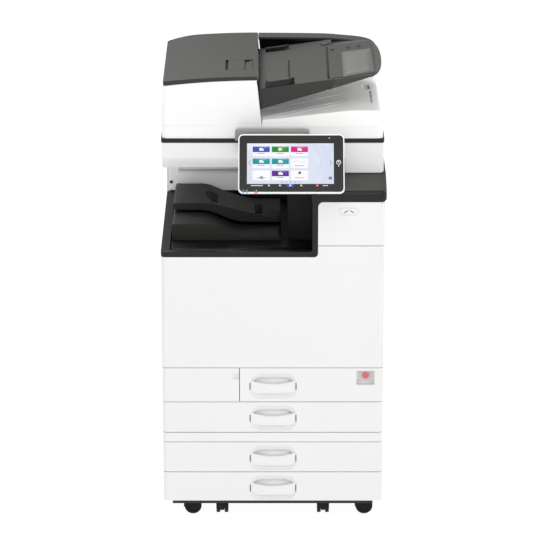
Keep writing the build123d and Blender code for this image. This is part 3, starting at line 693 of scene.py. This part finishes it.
def make_panel():
    """The panel's white shell, its black glass and everything shown on it."""
    wide, tall, thick = PANEL_SIZE
    outer = rounded(rectangle(-wide / 2, wide / 2, -tall / 2, tall / 2 + 3), [13] * 4, 10)
    rim = panel_plate("panel_rim", outer, -5.4, 0.2, WHITE)
    soften(rim, 2.2, 40, 4)
    body = rounded(rectangle(12 - wide / 2, wide / 2 - 12, 18 - tall / 2, tall / 2 - 18), [10] * 4, 6)
    back = panel_plate("panel_back", body, -thick + 0.7, -5.2, WHITE)
    soften(back, 5, 40, 4)
    shell = join("panel_shell", [rim, back])
    lugs = []
    for u in (-113.8, 18.2):
        outline = rounded([(-9, -24), (9, -24), (9, -12), (-9, -12)], [0, 0, 3, 3], 3)
        base = [(v - 4, out) for v, out in outline]
        rings = [[panel_pt(u + side, v, out - 10) for v, out in base] for side in (-6, 6)]
        lugs.append(loft(f"panel_lug_{int(u)}", rings, DARK))
    inner = rounded(rectangle(-wide / 2 + 3, wide / 2 - 3, -tall / 2 + 4.4, tall / 2 - 0.6), [10] * 4, 10)
    glass = soften(panel_plate("panel_glass", inner, -0.6, 0.55, BEZEL), 0.4, 40, 2)
    fit(shell, "panel", "panel_shell", "operation_panel")
    for lug in lugs:
        fit(lug, "panel", "panel_shell")
    fit(glass, "panel", "screen", "panel_screen")
    fit(make_screen(), "panel", "screen")

    led_blue = lit("led_blue", (0.04, 0.40, 0.95))
    led_red = lit("led_red", (0.95, 0.06, 0.03))
    places = ((-123.5, 5.0, led_blue), (-114.5, 5.0, led_blue), (-90.5, 9.5, led_red))
    lamps = [patch(f"lamp_{k}", u - w / 2, u + w / 2, -79.6, -76.8, 0.45, m, 0.9)
             for k, (u, w, m) in enumerate(places)]
    white_mark = lit("legend_white", (0.62, 0.64, 0.67))
    lamps += [disc(f"legend_{k}", u, -71.5, 1.3, 0.75, white_mark)
              for k, u in enumerate((-123.0, -114.5, -90.0))]
    lamps.append(patch("wireless_lamp", 96, 102, 75.2, 77.0, 0.3, led_blue, 0.8))
    lamps.append(patch("wireless_legend", 96.5, 100, 70.4, 73.0, 0.75, white_mark, 0.8))
    fit(join("panel_lamps", lamps), "panel", "screen")


# -------------------- document feeder
def crown(x):
    """Height of the feeder cover's top along its front edge."""
    return 1208.3 - 13.0 * (max(0.0, -40 - x) / 246) ** 2.1


def cover_top(x, depth):
    return crown(x) + (depth - 98) * SLOPE


def cover_under(x, depth):
    return cover_top(x, depth) - 8.6 - 2.4 * (max(0.0, -40 - x) / 246)


def make_feed_cover():
    """The crowned dark cover over the feeder, with its latch lever in a pocket."""
    plan = rounded([(-286, 98), (-40, 98), (-40, 500), (-225, 500), (-286, 468)],
                   [9, 5, 5, 90, 20], 8)
    cover = crowned("feed_cover", plan, cover_top, cover_under, DARK)
    pocket = rounded(rectangle(-124.5, -52, 161, 250), [2.5] * 4, 4)
    hollow = crowned("hollow", pocket, over(cover_top, 9),
                     over(cover_top, -6.6), DARK)
    cut(cover, hollow)
    soften(cover, 1.8, 30)
    fit(cover, "feed_cover", "dark_cover", "adf_feed_cover")
    # A near-black floor in the latch pocket: painted shade in the pocket.
    floor = crowned("pocket_floor", rounded(rectangle(-123.5, -53, 162, 249), [2] * 4, 3),
                    over(cover_top, -6.2), over(cover_top, -6.9), SLOT_SHADE)
    fit(floor, "feed_cover", "dark_cover")
    lever_plan = rounded(rectangle(-117, -74, 162.2, 249), [1.5] * 4, 3)
    lever = crowned("latch_lever", lever_plan, over(cover_top, 0.1),
                    over(cover_top, -5.4), DARK)
    fit(soften(lever, 1.0), "latch", "dark_cover", "adf_latch")
    finger = []
    for k in range(7):
        t = k / 6
        x = -73 + 20 * t
        drop = 6.0 - 5.2 * t ** 2
        finger.append([pt(x, 163, cover_top(x, 163) - drop), pt(x, 248, cover_top(x, 248) - drop),
                       pt(x, 248, cover_top(x, 248) - 6.6), pt(x, 163, cover_top(x, 163) - 6.6)])
    fit(soften(loft("latch_scoop", finger, DARK), 0.4), "feed_cover", "dark_cover")


def make_feeder_housing():
    """The white housing under the feeder cover: leaning right wall, open top, paper slots."""
    (x0, _), (d0, d1), (z0, _) = span("adf_feeder_housing")

    def wall(z):
        return -29.0 - 12.0 * (z - 1078) / 120

    def ring(share, inset=0.0):
        z_flat = z0 + (1129 - z0) * share / 0.4 if share <= 0.4 else None
        front = d0 + inset if share <= 0.42 else d0 + 8 * (share - 0.42) / 0.58 + inset
        left = x0 + 3 * share ** 3 + inset
        right = wall(z0 + 120 * share) - inset
        outline = dense(rounded([(left, front), (right, front), (right, d1 - inset), (left, d1 - inset)],
                                [11, 4, 4, 11], 6), 20, 14)
        points = []
        for x, d in outline:
            top = cover_under(x, max(d, 98)) - 1.4
            z = z_flat if z_flat is not None else 1129 + (top - 1129) * (share - 0.4) / 0.6
            points.append(pt(x, d, z))
        return points

    shares = [0.0, 0.02, 0.2, 0.39, 0.42, 0.47, 0.7, 0.97, 1.0]
    # The housing is in the lighter white: painted light from above.
    housing = loft("feeder_housing", [ring(s) for s in shares], PAINTED_LIT_WHITE)
    inside = loft("inside", [[v + Vector((0, 0, lift)) for v in ring(s, 5)]
                             for s, lift in ((0.0, -0.01), (0.42, 0), (1.0, 0), (1.0, 0.06))], LIP)
    cut(housing, inside)
    cut(housing, block("feed_slot", -62, -10, 130, 480, 1176, 1320, WHITE))
    cut(housing, block("exit_slot", -62, -10, 130, 480, 1093, 1108, WHITE))
    soften(housing, 1.0, 38)
    fit(housing, "lid", "white_cover", "adf_feeder_housing")

    # Near-black strips along the inner face of the leaning wall: painted shade in the hollow beside the tray
    # for originals.
    liner = []
    cheeks = ((1119, 1174, d0 + 8, 500), (1174, 1206, d0 + 8, 130), (1174, 1222, 480, 500))
    for z_low, z_high, d_low, d_high in cheeks:
        rings = []
        for d in (d_low, d_high):
            high = min(z_high, cover_under(-40, max(d, 98)) - 1.6)
            rings.append([pt(wall(z_low) + 0.1, d, z_low), pt(wall(z_low) + 1.9, d, z_low),
                          pt(wall(high) + 1.9, d, high), pt(wall(high) + 0.1, d, high)])
        liner.append(loft(f"shade_liner_{int(z_low)}_{int(d_low)}", rings, LIP))
    fit(join("feeder_cheek_painted_shade", liner), "lid", "white_cover")


def exit_floor(x):
    """Height of the exit tray's floor along x: a straight ramp, then level."""
    return 1093 + 26.6 * ramp(x, -26, 228)


def make_feeder_base():
    """The feeder's white base: fascia with a step above it, and the exit tray moulded in it."""
    (x0, x1), (d0, d1), (z0, _) = span("adf_base")
    fascia = rounded(rectangle(x0, x1, d0 - 1.5, d1), [13, 13, 8, 8], 8)
    # The fascia is in the lighter white: painted light from above.
    slab = prism_z("feeder_fascia", fascia, z0, 1078.3, PAINTED_LIT_WHITE)
    cut(slab, block("hollow", x0 + 8, -34, d0 + 8, d1 - 8, 1050, 1090, WHITE))
    fit(soften(slab, 0.9, 40), "lid", "white_cover", "adf_base")

    left, right = -27.0, 280.0
    xs = [left + (274 - left) * k / 36 for k in range(37)]
    top = [(x, exit_floor(x)) for x in xs] + [(right, 1118)]
    outline = [(left, 1076.5)] + top + [(x1 - 3.5, 1090), (x1 - 2, 1076.5)]
    # The exit tray glows a little: painted bounce light under the tray for originals.
    tray = prism_y("exit_tray", outline, d0, d1, WHITE_PAINTED_BOUNCE)
    recess = rounded(rectangle(240, 261, 310, 365), [10.4] * 4, 8)
    cut(tray, prism_z("oval", recess, 1115, 1140, WHITE))
    cut(tray, prism_z("slit", rounded(rectangle(257, 263, 168, 300), [2.9] * 4, 4), 1116, 1140, WHITE))
    soften(tray, 3.0, 30, 4)
    fit(tray, "lid", "white_cover")
    ribs = []
    for k, start in enumerate((94, 121, 192, 263, 334)):
        line = [(-22 + 224 * j / 20, start + 83 * j / 20) for j in range(21)]
        rings = []
        for x, d in line:
            lift = 1.1 * min(1.0, (x + 30) / 20, (204 - x) / 30)
            rings.append([pt(x, d - 1.2, exit_floor(x) - 0.5), pt(x, d - 0.5, exit_floor(x) + lift),
                          pt(x, d + 0.5, exit_floor(x) + lift), pt(x, d + 1.2, exit_floor(x) - 0.5)])
        ribs.append(loft(f"rib_{k}", rings, WHITE))
    fit(join("exit_tray_ribs", ribs), "lid", "white_cover")
    fit(block("exit_tray_slit", 257, 263, 168, 300, 1113, 1115, PALE_GREY), "lid", "white_cover")


def make_rear_rail():
    """The dark wall behind the tray for originals, with a wide rounded rim along its top."""
    top = through([(-39.2, 1227.3), (46, 1226.8), (140, 1225.4), (187, 1222), (235, 1217.2), (263, 1210.5),
                   (278, 1200), (285, 1184)], 5)
    lower = [(x, z - 8) for x, z in reversed(top[:-9])]
    foot = [(285, 1150), (282, 1125), (190, 1125), (86, 1091)]
    wall = prism_y("rear_wall", [(-25.5, 1090)] + list(top) + foot, 503, 519, DARK)
    rim = prism_y("rear_rim", list(top[:-9]) + lower, 468, 504, DARK)
    # Near-black strip on the rail's inner face: painted shade on the wall behind the tray for originals.
    inner = prism_y("rear_inner_painted_shade", [(-25.5, 1150)] + [(x, z - 9) for x, z in top[:-10]] + [(225, 1195)],
                    499, 503.5, LIP)
    fit(soften(wall, 3.0, 40), "lid", "dark_cover", "adf_rear_rail")
    fit(soften(rim, 3.0, 40, 4), "lid", "dark_cover")
    fit(inner, "lid", "dark_cover")


def tray_top(x, depth):
    """Surface of the tray for originals: it rises to the right and a little to the back."""
    return 1175.2 + 0.1353 * (x + 26) + (depth - 105) * SLOPE


def tray_under(x, depth):
    """Underside of that tray, which its deep front skirt follows."""
    skirt = 1121 + 0.2957 * (x + 26) if x < 160 else 1176 + 0.31 * (x - 160)
    return min(skirt, 1213.5) + (depth - 105) * SLOPE


def make_original_tray():
    """The dark tray for originals: deep front skirt, raised extension plate with its label, guides."""
    def left_end(z):
        return min(-26.0, -25.5 - 10.5 * (z - 1085) / 95)

    plan = rounded(rectangle(-36, 159, 105, 464), [2, 0, 0, 2], 3)
    tray = crowned("original_tray_main", plan, tray_top, tray_under, DARK, (0.8, 0.4))
    for vertex in tray.data.vertices:
        if vertex.co.x < -0.0355:
            vertex.co.x = left_end(vertex.co.z / MM) * MM
    cut(tray, crowned("under_hollow", rounded(rectangle(-21, 157, 110, 459), [3] * 4, 3),
                      over(tray_top, -4), lambda x, d: tray_under(x, d) - 30, DARK, (0.5,)))
    soften(tray, 1.4, 30)
    end = through([(262, 105), (274, 118), (283, 155), (287, 220), (286, 290), (280, 350), (268, 402),
                   (250, 440)], 4)
    plan = [(160.6, 105)] + list(end) + [(160.6, 470)]
    tip = crowned("original_tray_tip", plan, lambda x, d: tray_top(x, d) - 0.6 - 9 * max(0, d - 405) / 60,
                  tray_under, DECK, (0.8, 0.4))
    soften(tip, 2.4, 30)
    fit(tray, "originals", "dark_cover", "original_tray")
    fit(tip, "originals", "dark_cover")

    def inlay(name, corners, lift, material, radius=1.0, thick=0.8):
        """A thin plate let into the tray, standing above it by lift."""
        outline = rounded(corners, [radius] * len(corners), 3)
        return crowned(name, outline, over(tray_top, lift),
                       lambda x, d: tray_top(x, d) + lift - thick, material, (0.5,))

    plate = inlay("extension_plate", [(148.5, 113), (268, 113), (270, 260), (266, 402), (148.5, 402)],
                  1.3, DARK, 2, 2.2)
    fit(soften(plate, 0.8, 30), "originals", "dark_cover")
    # The groove and the three holes are near-black inlays: painted shade in them.
    seam = inlay("tray_groove", rectangle(142.8, 148.6, 116, 399), 0.25, SLOT_SHADE, 1.5)
    label = inlay("tray_label", [(184, 106.5), (265, 124), (262, 329), (184, 329)], 1.55, TAB, 2)
    holes = [inlay(f"hole_{k}", rectangle(x - 5.5, x + 5.5, 354, 370), 1.5, SLOT_SHADE, 3)
             for k, x in enumerate((159.8, 202.8, 231.1))]
    lines = []
    for k in range(6):
        line = rectangle(216 + 5 * (k % 2), 261, 150 + 27 * k, 151.6 + 27 * k)
        lines.append(inlay(f"line_{k}", line, 1.7, DECK, 0.7))
    for piece in (seam, label, join("tray_holes", holes), join("label_lines", lines)):
        fit(piece, "originals", "dark_cover")
    pivot = crowned("extension_pivot", circle(142, 434, 13, 20, 20), over(tray_top, 3), over(tray_top, -1),
                    DARK, (0.6,))
    fit(soften(pivot, 0.8, 30), "originals", "dark_cover")

    def guide(name, plan_points, radii, low, high, material=DARK):
        return crowned(name, rounded(plan_points, radii, 3), over(tray_top, high),
                       over(tray_top, low), material, (0.6,))

    wall = guide("guide_front_wall", [(-19, 108), (44, 108), (60, 119), (46, 126), (-19, 126)],
                 [1, 6, 3, 4, 1], 0.4, 14, LIP)
    cap = guide("guide_front_cap", [(-18, 109.5), (42, 109.5), (56, 119), (45, 124.5), (-18, 124.5)],
                [1, 5, 2, 3, 1], 13.8, 15.2, DARK)
    plate = guide("guide_front_plate", rectangle(-19, 41, 125, 324), [1, 2, 3, 1], 0.4, 2.1)
    # A near-black strip beside the paper plate: painted shade in the gap at its end.
    gap = guide("guide_front_gap_shade", rectangle(41.2, 45.7, 128, 322), [1, 1, 1, 1], 0.2, 0.9, SLOT_SHADE)
    soften(wall, 1.4, 30)
    soften(plate, 0.6, 30)
    fit(join("front_guide", [wall, cap, plate, gap]), "guide_front", "dark_cover", "guide_front")
    rear = guide("guide_rear_wall", [(-20, 424), (30, 424), (44, 430), (44, 436), (-20, 436)],
                 [1, 4, 2, 1, 1], 3.0, 10, LIP)
    fit(soften(rear, 1.4, 30), "guide_rear", "dark_cover", "guide_rear")


# -------------------- copy well
def lower_profile(x):
    """Top of the lower copy tray along x, at its front."""
    return 803.5 - 34 * (1 - math.cos(math.pi * ramp(x, -190, 110))) / 2


def upper_profile(x, depth=240.0):
    """Top of the upper copy tray: a long fall to the right, quicker towards the rear."""
    fall = 823 - 49 * ramp(x, -172, 194)
    along = math.sin(math.pi * ramp(x, -190, 211))
    return fall - 14 * along * (depth - 240) / 222


def upper_underside(x):
    """Underside of the upper copy tray, an S from its thick outer end to the exit."""
    return 804 - 34 * (1 - math.cos(math.pi * ramp(x, -198, 125))) / 2


def terraced_tray(name, x0, x1, bands, end, top, under, material):
    """A copy tray in one skin: long terraces running along x, each starting at its own depth."""
    rings = []
    for k in range(49):
        x = x0 + (x1 - x0) * (1 - math.cos(math.pi * k / 48)) / 2
        ease = 4 * (1 - math.sqrt(min(1.0, (x - x0) / 5, (x1 - x) / 5)))
        ring = [(bands[0][0], under(x)), (bands[0][0], top(x, bands[0][0]) - ease - 1.4)]
        for j, (near, drop) in enumerate(bands):
            far = bands[j + 1][0] if j + 1 < len(bands) else end
            ring.append((near + 1.4, top(x, near) - ease - drop))
            ring.append((far - (0.3 if j + 1 < len(bands) else 1.4), top(x, far) - ease - drop))
        ring.append((end, top(x, end) - ease - bands[-1][1] - 1.4))
        ring.append((end, under(x)))
        rings.append([pt(x, d, z) for d, z in ring])
    return loft(name, rings, material)


def make_copy_trays():
    """The lower and upper copy trays, the upper one's two pits, and the well's front apron."""
    steps = [(112, 0.0), (165, 2.4), (185, 4.4), (205, 6.4), (236, 11.0), (300, 13.0), (370, 15.0)]
    lower = terraced_tray("lower_copy_tray", -267, 21, steps, 480, lambda x, d: lower_profile(x),
                          lambda x: 757.5, COPY_TRAY)
    steps = [(240, 0.0), (253, 2.6), (296, 5.0), (340, 7.4), (395, 9.8)]
    upper = terraced_tray("upper_copy_tray", -268, 21, steps, 462, upper_profile, upper_underside, COPY_TRAY)
    # Near-black blocks for the two pits: painted shade in them.
    pits = []
    for k, plan in enumerate(([(-182, 366), (-149, 366), (-149, 275), (-165, 275)],
                              rectangle(-48, -28, 266, 366))):
        pits.append(crowned(f"pit_{k}", rounded(plan, [3] * 4, 3), over(upper_profile, -1.2),
                            over(upper_profile, -8), SLOT_SHADE, (0.6,)))
    soften(lower, 0.9, 30, 2)
    soften(upper, 0.9, 30, 2)
    fit(lower, "root", "well_black", "lower_output_tray")
    fit(upper, "root", "well_black", "upper_output_tray")
    fit(join("copy_tray_pits", pits), "root", "well_black")
    apron = prism_x("well_apron", [(13, 760.8), (62, 756.6), (62, 755), (13, 755)], -270, 104, LIP)
    fit(apron, "root", "well_black")


# -------------------- small things on the body
def make_body_details():
    """The oval status mark, the screw in the rear column and the power switch's surround."""
    def oval(name, x, z, wide, tall, d0, d1, material):
        outline = rounded(rectangle(x - wide / 2, x + wide / 2, z - tall / 2, z + tall / 2),
                          [tall / 2 - 0.1] * 4, 8)
        return prism_y(name, outline, d0, d1, material)

    mark_ring = oval("mark_ring", 199.3, 871.8, 50.6, 20, -0.25, 0.5, PALE_GREY)
    cut(mark_ring, oval("core", 199.3, 871.8, 48.6, 18, -1, 2, PALE_GREY))
    strokes = []
    for side in (-1, 1):
        path = [(199.3 + side * (2.6 + 10 * t), 874.2 - 5.4 * t ** 0.8) for t in (0, 0.25, 0.5, 0.75, 1)]
        outline = [(x, z + 1.1) for x, z in path] + [(x, z - 1.1) for x, z in reversed(path)]
        strokes.append(prism_y(f"stroke_{side}", outline, -0.25, 0.5, DARK))
    fit(join("status_mark", [mark_ring] + strokes), "root", "white_cover")

    screw = oval("column_screw", -281.6, 809, 9, 9, 488.4, 489.6, DARK)
    fit(screw, "root", "white_cover")

    switch = soften(block("switch_surround", 223.5, 269.5, 13, 23.8, 390.2, 429, WHITE), 1.5)
    cut(settle(switch), block("well", 226, 267, 5, 21.5, 393, 426.5, WHITE))
    cut(switch, prism_y("bore", circle(247.6, 409.8, 8.6), 10, 30, WHITE))
    fit(switch, "root", "white_cover")


# -------------------- panel bracket and deck
def make_bracket():
    """The grey arm housing that carries the panel: a wide hood with a narrower neck below."""
    hood = rounded([(56, 1047), (88, 1047), (88, 1066), (82, 1071), (76, 1075), (62, 1075), (58, 1071),
                    (56, 1062)],
                   [2, 0, 3, 4, 4, 4, 3, 3], 5)
    rings = []
    for x, inset in ((-98, 5), (-97, 2.4), (-93.5, 0), (88, 0), (94, 2.4), (96, 5)):
        rings.append([pt(x, d, z - inset if z > 1060 else z) for d, z in hood])
    fit(soften(loft("bracket_hood", rings, BRACKET), 0.8, 40), "root", "bracket_grey", "panel_bracket")
    neck = [(88, 1006), (88, 1066), (60, 1068), (36, 1066), (10, 1052), (3, 1034), (3, 996), (12, 984),
            (30, 984)]
    fit(soften(prism_x("bracket_neck", neck, -78, 80, BRACKET), 2, 30), "root", "bracket_grey")
    shaft = prism_x("tilt_shaft", circle(-10, 990, 5, 20), -74, 74, STEEL)
    fit(shaft, "root", "bracket_grey")
    arm = [(-10, 983), (-14, 990), (-6, 996), (6, 1004), (6, 986)]
    arms = [prism_x(f"arm_{k}", arm, x0, x0 + 16, BRACKET) for k, x0 in enumerate((-56, 40))]
    fit(join("bracket_arms", arms), "root", "bracket_grey")


def make_deck():
    """The dark trim round the copy well: lip, upright and the deck with its rounded nose."""
    (x0, x1), _, (z0, _) = span("deck_bezel")
    left, low, top, tower = 104.0, 761.0, 898.6, 118.0
    outline = rounded([(x0, z0), (tower, z0), (tower, top), (x1 - 14, top), (x1 - 14, 906), (left, 906),
                       (left, low), (x0, low)], [4, 9, 13, 0, 0, 0, 5, 3], 8)
    trim = prism_y("well_trim", outline, 0.2, 14, LIP)
    cut(trim, corner_tool("trim_corner", x0, z0 - 5, low + 5))
    fit(soften(trim, 2.4, 40, 4), "root", "dark_cover", "deck_bezel")

    section = through([(2, 898.6), (-1.5, 899.4), (-3, 903), (-3.2, 910), (-2.6, 917), (0.5, 923), (6, 927.2),
                       (14, 930)], 3)
    section += [Vector((88, 950.2)), Vector((585, 950.4)), Vector((585, 946)), Vector((92, 945.4)),
                Vector((16, 924)), Vector((14, 898.6))]
    rings = []
    turn = 13.0
    xs = [(102.0, 0.0)] + [(x1 - turn, 0.0)]
    xs += [(x1 - turn + turn * math.sin(a), turn * (1 - math.cos(a)))
           for a in (math.radians(11.25 * k) for k in range(1, 9))]
    for x, back in xs:
        ring = []
        for d, z in section:
            near = max(0.0, min(1.0, (92 - d) / 92))
            lift = 0.35 * back if z < 905 and d < 20 else 0.0
            ring.append(pt(x, d + back * near, z + lift - 0.12 * back * near * (z > 905)))
        rings.append(ring)
    deck = loft("deck_top", rings, DECK)
    deck.data.materials.append(LIP)
    for face in deck.data.polygons:
        if face.center.y < FRONT_Y + 7 * MM:
            face.material_index = 1
    fit(soften(deck, 1.2, 40), "root", "dark_cover")
    cheek = [(14, 900), (14, 924), (88, 948), (585, 948), (585, 900)]
    fit(soften(prism_x("deck_cheek", cheek, 287, x1 - 1, DECK), 1.0, 40), "root", "dark_cover")


# -------------------- studio
CAMERA_BACK, CAMERA_HEIGHT = 7.0, 3.002          # metres, from the front covers and the floor
CAMERA_PITCH = math.radians(18.18)               # downwards
LENS = 185.1                                     # on a 36 mm wide sensor


def make_studio():
    """White surroundings and floor, five soft lamps, and the camera in front."""
    world = bpy.data.worlds.new("studio")
    bpy.context.scene.world = world
    world.use_nodes = True
    nodes, links = world.node_tree.nodes, world.node_tree.links
    sky = nodes["Background"]
    sky.inputs["Color"].default_value = (1.0, 1.0, 1.0, 1)
    sky.inputs["Strength"].default_value = 0.5
    backdrop = nodes.new("ShaderNodeBackground")
    backdrop.inputs["Color"].default_value = (1.0, 1.0, 1.0, 1)
    backdrop.inputs["Strength"].default_value = 1.1
    path = nodes.new("ShaderNodeLightPath")
    either = nodes.new("ShaderNodeMixShader")
    links.new(path.outputs["Is Camera Ray"], either.inputs["Fac"])
    links.new(sky.outputs["Background"], either.inputs[1])
    links.new(backdrop.outputs["Background"], either.inputs[2])
    links.new(either.outputs["Shader"], nodes["World Output"].inputs["Surface"])

    floor = bpy.data.meshes.new("floor")
    floor.from_pydata([(-30, -30, 0), (30, -30, 0), (30, 30, 0), (-30, 30, 0)], [], [(0, 1, 2, 3)])
    ground = plastic("studio_floor", (0.09, 0.09, 0.09), 0.9, 0.0, 50, 0.0, 0.1)
    glow(ground, (1, 1, 1, 1), 0.97)
    link("floor", floor, ground)

    def lamp(name, where, target, size, power):
        """A square lamp, size metres wide, turned towards its target."""
        data = bpy.data.lights.new(name, "AREA")
        data.shape = "SQUARE"
        data.size = size
        data.energy = power
        light = bpy.data.objects.new(name, data)
        light.location = where
        light.rotation_euler = (Vector(target) - Vector(where)).to_track_quat("-Z", "Y").to_euler()
        bpy.context.scene.collection.objects.link(light)

    lamp("top", (-0.9, 1.0, 3.8), (0, 0, 1.0), 1.8, 118)
    lamp("front_top", (0.3, -3.2, 4.0), (0, 0, 0.9), 2.0, 40)
    lamp("front", (-0.8, -6.0, 1.7), (0, 0, 0.8), 2.4, 40)
    lamp("right_fill", (3.5, -2.5, 1.6), (0, 0, 0.9), 2.0, 14)
    lamp("right_side", (1.6, 0.2, 1.9), (0.24, 0, 1.12), 0.6, 8)

    data = bpy.data.cameras.new("camera")
    data.sensor_width = 36
    data.lens = LENS
    data.clip_end = 200
    camera = bpy.data.objects.new("camera", data)
    camera.location = (0.0009, FRONT_Y - CAMERA_BACK, CAMERA_HEIGHT)
    camera.rotation_euler = (math.radians(90) - CAMERA_PITCH, 0, 0)
    bpy.context.scene.collection.objects.link(camera)
    bpy.context.scene.camera = camera
    bpy.context.scene.view_settings.view_transform = "Standard"


finish_nodes()
for tray_number in range(1, 5):
    make_tray_front(tray_number)
make_scanner()
make_deck()
make_bracket()
make_panel()
make_feed_cover()
make_feeder_housing()
make_feeder_base()
make_rear_rail()
make_original_tray()
make_copy_trays()
make_body_details()
make_studio()
